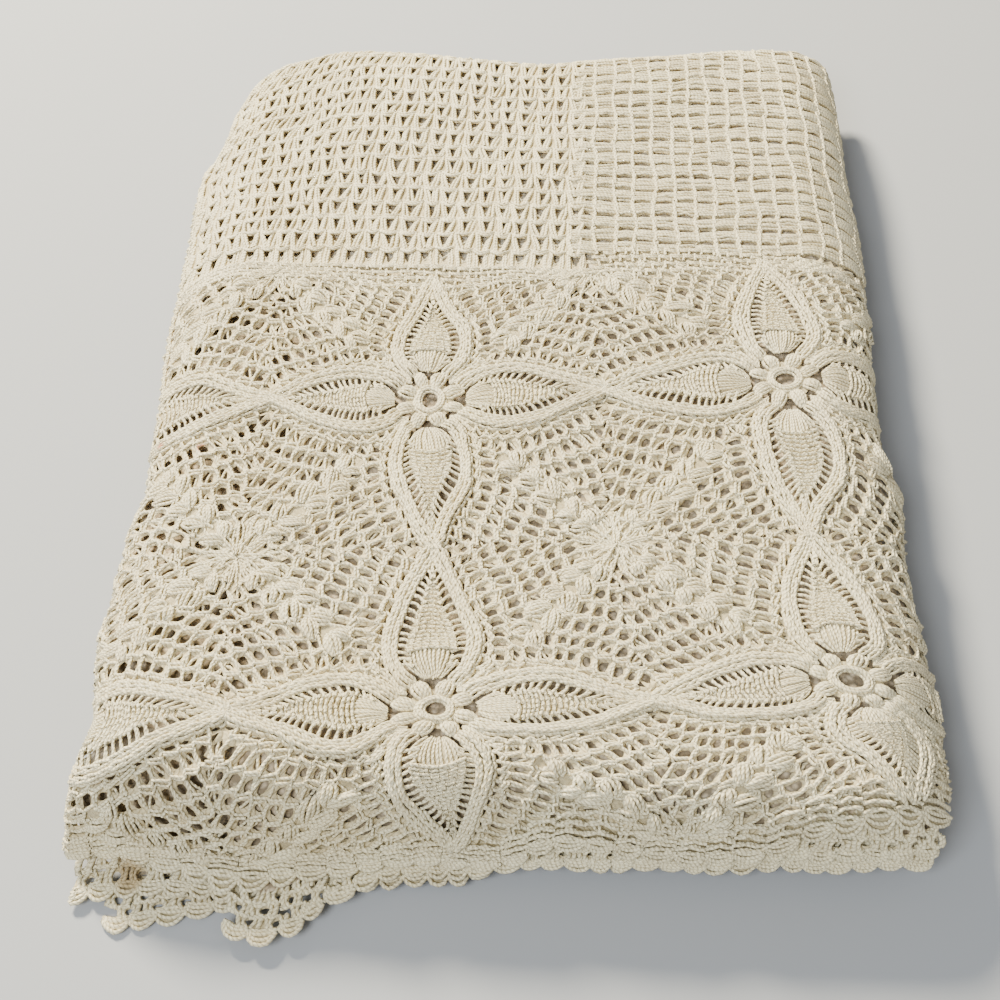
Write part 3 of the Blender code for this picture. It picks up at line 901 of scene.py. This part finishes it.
def lay_right(yarn):
    i, j = np.meshgrid(np.arange(-1, 15), np.arange(-2, 18))
    i, j = i.ravel(), j.ravel()
    every = np.ones(len(i), bool)

    def put(points, w, sel, r=RY, loose=0.015, **o):
        pq = np.array(points, float)
        n = int(sel.sum())
        c = i[sel][:, None] + pq[None, :, 0] + rng.normal(0, loose, (n, 1))
        y = j[sel][:, None] + pq[None, :, 1] + rng.normal(0, loose, (n, 1))
        s, t = right_place(c, y)
        q = np.stack([s, t, np.broadcast_to(np.array(w, float), s.shape)], -1)
        keep = (s.mean(1) > SEAM - 0.001) & (s.mean(1) < S_MAX) & (t.mean(1) < T_FOLD + 0.030)
        keep &= t.mean(1) > right_border(s.mean(1))
        yarn.add(q[keep], r, **o)

    for k, y in enumerate(np.linspace(0.205, 0.795, 6)):
        z = 0.0004 + 0.0006 * sin(pi * (k + 0.5) / 6) + 0.0003 * (k % 2)
        lift = 0.035 * (y - 0.5)
        put([(-0.08, y - lift), (0.22, y + lift), (0.50, y + 0.02 * (-1) ** k), (0.78, y + lift),
             (1.08, y - lift)], [z - 0.0003, z, z + 0.0003, z, z - 0.0003], every,
            RY * 1.42, loose=0.014, sides=4, jitter=0.00026, fine=1)
    g = cells(np.broadcast_to(OVAL * [0.74, 0.38], (len(i), 9, 2)), (1.0,), (0.0005, -0.0006))
    s, t = right_place(i[:, None, None] + (g[..., 0] + 1) / 2, j[:, None, None] + g[..., 1] / 2)
    keep = (s > SEAM - 0.002) & (s < S_MAX) & (t < T_FOLD + 0.030) & (t > right_border(s))
    yarn.close(np.stack([s, t, g[..., 2]], -1), keep, 3)
    for x in (-1, 1):                                  # ridge, two strands round each other
        f = np.linspace(0, 1, 5)
        put(np.stack([0.060 * x * np.cos(2 * pi * f), f], -1),
            0.0013 + 0.0005 * x * np.sin(2 * pi * f), every, RY * 1.30, loose=0.012, sides=4,
            fine=1, jitter=0.00018)


def right_border(s):
    """t where the flower squares end and the right panel begins."""
    return np.interp(s, [0.03, 0.045, 0.09, 0.13, 0.16, 0.20],
                     [0.298, 0.306, 0.308, 0.304, 0.300, 0.296])


def square_top(s):
    """t of the flower squares' rear edge."""
    u = (s + SHIFT) / SQUARE
    for _ in range(4):
        s1, t1 = squares(u, 0.497)
        u = u + (s - s1) / SQUARE
    return squares(u, 0.497)[1]


def lay_band(yarn):
    """Small loops between the flower squares and the mesh panels."""
    pitch = 0.0066
    for a, b in ((S_MIN, SEAM), (SEAM, S_MAX)):
        n = int((b - a) / pitch)
        c = np.linspace(a, b, n, endpoint=False) + pitch / 2
        if b < 0.1:
            hi = left_place(np.interp(c, COLUMNS[1], COLUMNS[0]), 0 * c)[1] + 0.0005
        else:
            hi = right_border(c) + 0.001
        lo = square_top(c) - 0.006
        rows = 4
        f = np.linspace(-0.15, 1.15, 4)[:, None]
        yarn.close(np.stack(np.broadcast_arrays(c, lo * (1 - f) + hi * f, -0.0004), -1),
                   np.ones((4, n), bool), n * 2)
        for k in range(rows):
            base = lo + (hi - lo) * (k + 0.5) / rows
            off = pitch / 2 * (k % 2)
            f = np.linspace(-1, 1, 5)
            for e in (0.0, 0.0011):
                s = c[:, None] + off + f * pitch * 0.52
                t = base[:, None] + 0.0016 * f * f + e - 0.0006
                w = np.broadcast_to(0.0004 + 0.0010 * (1 - f * f), s.shape)
                keep = (base > lo - 1) & (hi - lo > 0.002)
                yarn.add(np.stack([s, t, w], -1)[keep], RY * 1.05, fine=1, sides=4)
            s = c[:, None] + off + pitch * 0.5 + np.array([0.0003, 0.0, -0.0003])
            h = (hi - lo)[:, None] / rows
            t = base[:, None] + np.array([-0.45, 0.05, 0.55]) * h
            w = np.broadcast_to(np.array([0.0004, 0.0008, 0.0004]), s.shape)
            yarn.add(np.stack([s, t, w], -1), RY * 1.5, fine=1, sides=4)

# ---------------------------------------------------------------- edging and under layers
def edging(yarn, layer, s0, s1, pitch, rows=3, r=RY):
    """Scalloped edging of one layer of the top run, along its hem from s0 to s1, then rows
    of openings, or for rows=0 close ridges."""
    w_off = -(layer - 1) * PITCH
    n = max(1, int(round((s1 - s0) / pitch)))
    pitch = (s1 - s0) / n
    c = s0 + (np.arange(n) + 0.5) * pitch + rng.normal(0, 0.0003, n)

    def spread(ds, dt):
        """ds, dt, on (points,) or (rings, points), laid round each scallop's middle."""
        ds, dt = np.broadcast_arrays(ds, dt)
        m = c.reshape((-1,) + (1,) * ds.ndim)
        s = m + ds
        h = hem(layer, np.clip(m, -0.186, 0.184)) * 0.55 \
            + hem(layer, np.clip(s, max(s0, -0.186), min(s1, 0.184))) * 0.45
        return s, h + dt

    def lay(ds, dt, w, rad=1.0, **o):
        s, t = spread(ds, dt)
        w = np.broadcast_to(np.asarray(w, float), s.shape)
        yarn.add(np.stack([s, t, w + w_off], -1), r * rad, fine=1, **o)

    rad0 = pitch * 0.53
    cy = rad0 * 0.92
    for k, high in enumerate((0.0007, 0.0010, 0.0010)):
        a = np.linspace(pi + 0.02, 2 * pi - 0.02, 7)
        lay((rad0 * (1 - 0.08 * k) - 0.0002) * np.cos(a),
            cy + 0.0004 * k + (rad0 * (1 - 0.36 * k) - 0.0002) * np.sin(a),
            0.0003 + high * np.sin(np.linspace(0.3, pi - 0.3, 7)), rad=1.64)
    # backing of the shells
    a = np.linspace(pi, 2 * pi, 7)
    q = np.array([0.02, 0.55, 0.92])[:, None] * rad0
    s, t = spread(q * np.cos(a), cy + q * np.sin(a))
    yarn.close(np.stack([s, t, s * 0 + 0.0001 + w_off], -1), np.ones(s.shape, bool), 12)
    f = np.linspace(-0.5, 0.5, 5) * pitch
    y = cy + 0.0012
    if rows == 0:                                       # ridges
        for k in range(4):
            for e in (0, 1):
                g = 2 * pi * (f / pitch + 0.5 * e + 0.29 * k)
                lay(f, y + 0.0034 * k + 0.0004 * np.sin(g) + 0.0006 * np.cos(2 * pi * f / pitch),
                    0.0014 + 0.0008 * np.cos(g), rad=1.4)
        g = np.linspace(0, 1, 3)[:, None] * 0.0175
        s, t = spread(np.linspace(-0.5, 0.5, 3)[None] * pitch, y - 0.002 + g)
        yarn.close(np.stack([s, t, s * 0 + w_off - 0.0021], -1), np.ones(s.shape, bool), 3)
        return
    high = 0.0062
    for k in range(rows):
        for e in (0, 1):
            g = 2 * pi * (f / pitch + 0.5 * e)
            lay(f, y + 0.0005 * np.sin(g), 0.0005 + 0.0004 * np.cos(g), rad=1.5)
        shift = pitch / 2 * ((k + 1) % 2)
        g = cells(OVAL * [0.40, 0.54], (1.25, 0.95), (0.0004, 0.0005, -0.0003))
        s, t = spread(g[..., 0] * pitch / 2 + shift, y + high * (g[..., 1] + 1) / 2)
        w = np.broadcast_to(g[..., 2], s.shape)
        keep = (s < s1 + 0.002) & (s > s0 - 0.002)
        yarn.close(np.stack([s, t, w + w_off], -1), keep, 3)
        for e in (-1, 1):                               # slanting stitches round the opening
            lay(np.array([0.06, 0.235, 0.245, 0.07]) * pitch * e + shift - pitch / 2 * (k % 2 * 0),
                y + np.array([-0.1, 0.38, 0.65, 1.1]) * high, [0.0004, 0.0010, 0.0010, 0.0004],
                rad=1.6)
            lay(np.array([0.33, 0.40, 0.43]) * pitch * e + shift,
                y + np.array([0.0, 0.5, 1.0]) * high, [0.0003, 0.0013, 0.0003], rad=1.9)
        y = y + high + 0.0004


def strip():
    """Across the cloth: x, height, tilt, layer, arc length; fine steps on the wraps."""
    rows = []

    def flat(layer, x0, x1):
        up = 0.0 if x1 > x0 else pi
        n = int(abs(x1 - x0) / 0.012)
        for x in np.linspace(x0, x1, n + 1):
            rows.append((x, height(layer), up, layer))

    def bend(x, la, lb, side, steps, code):
        r = abs(height(la) - height(lb)) / 2
        mid = (height(la) + height(lb)) / 2
        for i in range(1, steps):
            q = pi * i / steps
            if side > 0:
                rows.append((x + r * sin(q), mid + r * cos(q), q, code))
            else:
                rows.append((x - r * sin(q), mid - r * cos(q), q + pi, code))

    flat(2, FREE_2, X_RIGHT)
    bend(X_RIGHT, 2, 3, 1, 5, 23)
    flat(3, X_RIGHT, X_LEFT)
    bend(X_LEFT, 3, 1, -1, 8, 31)
    flat(1, X_LEFT, X_RIGHT)
    bend(X_RIGHT, 1, 4, 1, 10, 14)
    flat(4, X_RIGHT, FREE_4)
    r = np.array(rows)
    d = np.hypot(np.diff(r[:, 0]), np.diff(r[:, 1]))
    return r, np.concatenate([[0], np.cumsum(d)])


def under_layers(material):
    """Every layer below the top one, as one folded sheet."""
    r, arc_len = strip()
    x, n, up, code = r.T
    ends = {2: lambda q: hem(2, q), 3: lambda q: hem(3, q), 4: lambda q: hem(4, q),
            1: lambda q: hem(1, q)}
    start = np.zeros(len(x))
    for i, (xi, ci) in enumerate(zip(x, code)):
        layer = {23: 3, 31: 3, 14: 4}.get(int(ci), int(ci))
        start[i] = ends[layer](np.clip(xi, -0.186, 0.184)) \
            + (0.0125 if layer == 1 else 0.0225) + (0.016 if ci == 23 else 0.0)
    grid = [np.linspace(-0.100, 0.0, 34)]
    for i in range(4, len(PIECES)):
        name, length, turn_, radius = PIECES[i]
        k = 12 if turn_ else int(length / 0.024)
        grid.append(STARTS[i] + np.linspace(0, 1, k + 1)[1:] * length)
    grid = np.concatenate(grid)
    t = np.maximum(grid[:, None], start[None] + 0.00002 * np.arange(len(grid))[:, None])
    under_top = np.isin(code, (2, 3, 4)) & (t < T_FOLD + 0.01)
    w = np.where(under_top, np.where(np.cos(up) > 0, 1, -1) * 0.0016, -0.0009)
    xs = (x + np.sin(up) * w).ravel()
    ns = (n + np.cos(up) * w).ravel()
    p = np.stack(place(xs, ns, t.ravel()), -1)
    m, c = t.shape
    idx = np.arange(m * c).reshape(m, c)
    quads = np.stack([idx[:-1, :-1], idx[:-1, 1:], idx[1:, 1:], idx[1:, :-1]], -1)
    gone = np.isin(code, (1, 31, 14))
    gone = gone[:-1] | gone[1:]
    top_run = t[:-1, :-1] < T_FOLD + 0.024
    flat_zero = (t[1:, :-1] - t[:-1, :-1]) < 1e-4
    keep = ~(gone[None] & top_run) & ~flat_zero
    quads = quads[keep]
    uv = np.stack([np.broadcast_to(arc_len, t.shape), t], -1).reshape(-1, 2) * 100
    used, inv = np.unique(quads, return_inverse=True)
    quads = inv.reshape(quads.shape)
    return mesh_piece("under_layers", p[used], quads, uv[used][quads].reshape(-1, 2), material)


# ---------------------------------------------------------------- materials
def nodes_of(name):
    mat = bpy.data.materials.new(name)
    mat.use_nodes = True
    nt = mat.node_tree
    return mat, nt, nt.nodes, nt.links, nt.nodes["Principled BSDF"]


def math_node(nt, op, a, b=None, c=None):
    nd = nt.nodes.new("ShaderNodeMath")
    nd.operation = op
    for i, q in enumerate((a, b, c)):
        if q is None:
            continue
        if isinstance(q, (int, float)):
            nd.inputs[i].default_value = q
        else:
            nt.links.new(q, nd.inputs[i])
    return nd.outputs[0]


def noise(nt, vec, scale, detail=3.0, rough=0.5):
    nd = nt.nodes.new("ShaderNodeTexNoise")
    nd.inputs["Scale"].default_value = scale
    nd.inputs["Detail"].default_value = detail
    nd.inputs["Roughness"].default_value = rough
    nt.links.new(vec, nd.inputs["Vector"])
    return nd.outputs["Fac"]


def ramp(nt, fac, stops):
    nd = nt.nodes.new("ShaderNodeValToRGB")
    e = nd.color_ramp.elements
    e[0].position, e[0].color = stops[0][0], (*stops[0][1], 1)
    e[1].position, e[1].color = stops[-1][0], (*stops[-1][1], 1)
    for pos, col in stops[1:-1]:
        q = e.new(pos)
        q.color = (*col, 1)
    nt.links.new(fac, nd.inputs["Fac"])
    return nd.outputs["Color"]


def mix(nt, kind, fac, a, b):
    nd = nt.nodes.new("ShaderNodeMix")
    nd.data_type = "RGBA"
    nd.blend_type = kind
    if isinstance(fac, (int, float)):
        nd.inputs["Factor"].default_value = fac
    else:
        nt.links.new(fac, nd.inputs["Factor"])
    for sock, q in ((nd.inputs[6], a), (nd.inputs[7], b)):
        if isinstance(q, tuple):
            sock.default_value = (*q, 1)
        else:
            nt.links.new(q, sock)
    return nd.outputs[2]


STAINS = (((-0.162, -0.266, 0.009), 0.0085, (0.62, 0.53, 0.42)),
          ((-0.178, -0.0575, 0.051), 0.0035, (0.75, 0.42, 0.38)),
          ((-0.155, -0.0655, 0.062), 0.0030, (0.85, 0.55, 0.50)))


def cotton_yarn():
    mat, nt, nodes, links, p = nodes_of("cotton_yarn")
    uv = nodes.new("ShaderNodeUVMap")
    uv.uv_map = "UVMap"
    sep = nodes.new("ShaderNodeSeparateXYZ")
    links.new(uv.outputs["UV"], sep.inputs[0])
    geo = nodes.new("ShaderNodeTexCoord")
    obj = geo.outputs["Object"]
    # two plies, one turn in about 6 mm
    ph = math_node(nt, "ADD", math_node(nt, "MULTIPLY", sep.outputs["X"], 2.0),
                   math_node(nt, "MULTIPLY", sep.outputs["Y"], 4.8))
    ply = math_node(nt, "ABSOLUTE", math_node(nt, "SINE", math_node(nt, "MULTIPLY", ph, pi)))
    fuzz = noise(nt, obj, 2600.0, 2.0)
    tint = noise(nt, obj, 9.0, 3.0, 0.6)
    spot = noise(nt, obj, 60.0, 2.0)
    col = ramp(nt, tint, [(0.30, (0.862, 0.756, 0.474)), (0.50, (0.884, 0.792, 0.530)),
                          (0.70, (0.874, 0.783, 0.512))])
    col = mix(nt, "MULTIPLY", 1.0, col, ramp(nt, spot, [(0.30, (0.90, 0.88, 0.86)),
                                                         (0.60, (1.0, 1.0, 1.0))]))
    # painted shade in the grooves between the plies
    col = mix(nt, "MULTIPLY", 1.0, col, ramp(nt, ply, [(0.0, (0.51, 0.46, 0.39)),
                                                        (0.45, (0.96, 0.95, 0.93)),
                                                        (1.0, (1.0, 1.0, 1.0))]))
    grain = noise(nt, obj, 820.0, 2.0, 0.6)
    col = mix(nt, "MULTIPLY", 1.0, col, ramp(nt, grain, [(0.34, (0.70, 0.685, 0.66)),
                                                         (0.52, (0.90, 0.895, 0.88)),
                                                         (0.66, (1.0, 1.0, 1.0))]))
    # painted shade on the patches, which lie deeper between the strands
    painted_patch_shade = math_node(nt, "GREATER_THAN", sep.outputs["X"], BACKING - 1.0)
    col = mix(nt, "MULTIPLY", painted_patch_shade, col, (0.76, 0.715, 0.63))
    # small old stains
    for at, size, shade in STAINS:
        far = nodes.new("ShaderNodeVectorMath")
        far.operation = "DISTANCE"
        links.new(obj, far.inputs[0])
        far.inputs[1].default_value = at
        near = math_node(nt, "SUBTRACT", math_node(nt, "DIVIDE", far.outputs["Value"], size),
                         math_node(nt, "MULTIPLY", spot, 0.8))
        near = ramp(nt, near, [(0.15, (1, 1, 1)), (0.60, (0, 0, 0))])
        col = mix(nt, "MULTIPLY", near, col, shade)
    links.new(col, p.inputs["Base Color"])
    p.inputs["Roughness"].default_value = 0.66
    p.inputs["Specular IOR Level"].default_value = 0.38
    p.inputs["Sheen Weight"].default_value = 0.10
    p.inputs["Sheen Roughness"].default_value = 0.5
    h = math_node(nt, "ADD", ply, math_node(nt, "MULTIPLY", fuzz, 0.35))
    bump = nodes.new("ShaderNodeBump")
    bump.inputs["Strength"].default_value = 0.65
    bump.inputs["Distance"].default_value = 0.00035
    links.new(h, bump.inputs["Height"])
    links.new(bump.outputs["Normal"], p.inputs["Normal"])
    return mat


def shaded_inner_cotton():
    """The layers that show only through the openwork, their colour darkened with painted shade."""
    mat, nt, nodes, links, p = nodes_of("shaded_inner_cotton")
    uv = nodes.new("ShaderNodeUVMap")
    uv.uv_map = "UVMap"
    geo = nodes.new("ShaderNodeTexCoord")
    cell = nodes.new("ShaderNodeTexVoronoi")
    cell.feature = "F1"
    cell.inputs["Scale"].default_value = 3.4
    links.new(uv.outputs["UV"], cell.inputs["Vector"])
    fine = noise(nt, uv.outputs["UV"], 6.0, 3.0, 0.6)
    f = math_node(nt, "ADD", math_node(nt, "MULTIPLY", cell.outputs["Distance"], 0.8),
                  math_node(nt, "MULTIPLY", fine, 0.5))
    # light cells for the strands of the lower layers, darker browns for painted shade in their openings
    col = ramp(nt, f, [(0.25, (0.76, 0.685, 0.545)), (0.50, (0.57, 0.495, 0.375)),
                       (0.75, (0.28, 0.235, 0.168))])
    sep = nodes.new("ShaderNodeSeparateXYZ")
    links.new(uv.outputs["UV"], sep.inputs[0])
    mesh = math_node(nt, "GREATER_THAN", sep.outputs["Y"], 28.0)         # under the mesh panels: painted light there, painted shade elsewhere
    col = mix(nt, "MIX", mesh, mix(nt, "MULTIPLY", 1.0, col, (0.87, 0.81, 0.72)),
              mix(nt, "SCREEN", 1.0, col, (0.36, 0.275, 0.145)))
    patch = noise(nt, geo.outputs["Object"], 16.0, 2.0)
    col = mix(nt, "MULTIPLY", 1.0, col, ramp(nt, patch, [(0.35, (1.0, 0.95, 0.89)),
                                                          (0.65, (1.0, 1.0, 1.0))]))
    links.new(col, p.inputs["Base Color"])
    p.inputs["Roughness"].default_value = 0.9
    p.inputs["Specular IOR Level"].default_value = 0.2
    p.inputs["Sheen Weight"].default_value = 0.1
    bump = nodes.new("ShaderNodeBump")
    bump.invert = True
    bump.inputs["Strength"].default_value = 0.9
    bump.inputs["Distance"].default_value = 0.0012
    links.new(f, bump.inputs["Height"])
    links.new(bump.outputs["Normal"], p.inputs["Normal"])
    return mat


# ---------------------------------------------------------------- stage
def stage():
    me = bpy.data.meshes.new("floor")
    me.from_pydata([(-6, -6, -0.0003), (6, -6, -0.0003), (6, 6, -0.0003), (-6, 6, -0.0003)],
                   [], [(0, 1, 2, 3)])
    ob = bpy.data.objects.new("floor", me)
    bpy.context.scene.collection.objects.link(ob)
    mat, nt, nodes, links, p = nodes_of("pale_floor")
    p.inputs["Base Color"].default_value = (0.34, 0.34, 0.34, 1)
    p.inputs["Roughness"].default_value = 0.9
    me.materials.append(mat)
    world = bpy.data.worlds.new("studio")
    bpy.context.scene.world = world
    world.use_nodes = True
    bg = world.node_tree.nodes["Background"]
    bg.inputs["Color"].default_value = (0.95, 0.975, 0.99, 1)
    bg.inputs["Strength"].default_value = 0.50

    def area(name, loc, aim, size, power, col=(1, 1, 1)):
        li = bpy.data.lights.new(name, "AREA")
        li.shape = "DISK"
        li.size = size
        li.energy = power
        li.color = col
        lo = bpy.data.objects.new(name, li)
        lo.location = loc
        lo.rotation_euler = (Vector(aim) - Vector(loc)).to_track_quat("-Z", "Y").to_euler()
        bpy.context.scene.collection.objects.link(lo)

    area("key", (-1.1, 1.4, 1.55), (0, 0, 0), 0.5, 238, (1.0, 0.94, 0.765))
    area("fill", (-0.7, -1.2, 1.6), (0, 0, 0), 0.9, 46, (0.86, 0.93, 1.0))
    return ob


def camera():
    cam = bpy.data.cameras.new("view")
    cam.sensor_fit = "HORIZONTAL"
    cam.sensor_width = 36.0
    cam.lens = 51.565
    cam.clip_start = 0.01
    ob = bpy.data.objects.new("view", cam)
    right, up, ahead = (0.99900818, 0.04452696, 0.0), (-0.03562645, 0.79931605, 0.59985383), \
        (-0.02670967, 0.59925888, -0.80010961)
    m = Matrix(((right[0], up[0], -ahead[0]), (right[1], up[1], -ahead[1]),
                (right[2], up[2], -ahead[2])))
    ob.matrix_world = Matrix.Translation((0.01072648 - MIDDLE[0], -0.48015841 - MIDDLE[1],
                                          0.61553394)) @ m.to_4x4()
    bpy.context.scene.collection.objects.link(ob)
    bpy.context.scene.camera = ob


# ---------------------------------------------------------------- the bedspread
def sides_and_back(mat):
    """Generic openwork on the side wraps of the lower runs and on the lower back turn."""
    out = []
    for name, lo, hi in (("left_sides", S_MIN, X_LEFT + 0.002), ("right_sides", X_RIGHT - 0.002, S_MAX)):
        y = Yarn(name)
        for run in (6, 8, 10):
            t0, t1 = STARTS[run] - 0.004, STARTS[run] + LENGTH[run] + 0.004
            rows = int(round((hi - lo) / 0.0062))
            n = int((t1 - t0) / 0.0072)
            tt = np.linspace(t0, t1, n + 1)
            ss = np.linspace(lo, hi, rows + 1)
            for s in ss:
                y.add(twisted(Line([(s, t0), (s, t1)]), 0.0072, 0.0009, 0.0005, 0.0, steps=3),
                      RY * 1.25, fine=1, sides=4)
            for a, b in zip(ss[:-1], ss[1:]):
                y.add(pairs(np.stack([np.full(n, a), tt[:-1] + 0.002], -1),
                            np.stack([np.full(n, b), tt[:-1] + 0.0045], -1),
                            0.0002, 0.0006, 0.0002), RY * 1.6, fine=1, sides=4)
        out.append(piece(y, mat))
    y = Yarn("lower_back")
    t0 = STARTS[9] - 0.006
    t1 = STARTS[9] + LENGTH[9] + 0.006
    n = int((X_RIGHT - X_LEFT) / 0.0100)
    ss = np.linspace(X_LEFT, X_RIGHT, n + 1)
    for t in np.linspace(t0, t1, 5):
        y.add(twisted(Line([(X_LEFT, t), (X_RIGHT, t)]), 0.010, 0.0010, 0.0006, 0.0), RY * 1.25,
              fine=1, sides=4)
    for a, b in zip(np.linspace(t0, t1, 5)[:-1], np.linspace(t0, t1, 5)[1:]):
        y.add(pairs(np.stack([ss, np.full(n + 1, a)], -1), np.stack([ss + 0.003, np.full(n + 1, b)], -1),
                    0.0002, 0.0006, 0.0002, spread=0.0009), RY * 1.25, fine=1, sides=4)
        y.add(pairs(np.stack([ss + 0.0075, np.full(n + 1, a)], -1),
                    np.stack([ss + 0.0055, np.full(n + 1, b)], -1),
                    0.0002, 0.0006, 0.0002, spread=0.0009), RY * 1.25, fine=1, sides=4)
    out.append(piece(y, mat))
    return out


def main():
    yarn_mat, inner_mat = cotton_yarn(), shaded_inner_cotton()
    pieces_ = []
    fl = flower()
    for name, u0, v0 in (("square_left_rear", -1, 0), ("square_mid_rear", 0, 0),
                         ("square_right_rear", 1, 0), ("square_left_front", -1, -1),
                         ("square_mid_front", 0, -1), ("square_right_front", 1, -1)):
        y = Yarn(name)
        lay_square(y, fl, u0, v0)
        lay_square(y, ground(), u0, v0)
        pieces_.append(piece(y, yarn_mat))
    y = Yarn("mesh_left")
    lay_left(y)
    lay_band(y)
    pieces_.append(piece(y, yarn_mat))
    y = Yarn("mesh_right")
    lay_right(y)
    pieces_.append(piece(y, yarn_mat))
    y = Yarn("edging")
    edging(y, 1, -0.186, 0.1835, 0.0123, rows=0)
    edging(y, 2, -0.115, 0.1800, 0.0101)
    edging(y, 3, -0.184, 0.1780, 0.0101)
    edging(y, 4, -0.166, 0.1780, 0.0108)
    pieces_.append(piece(y, yarn_mat))
    pieces_ += sides_and_back(yarn_mat)
    base = under_layers(inner_mat)
    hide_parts("bedspread")
    floor = stage()
    camera()


main()
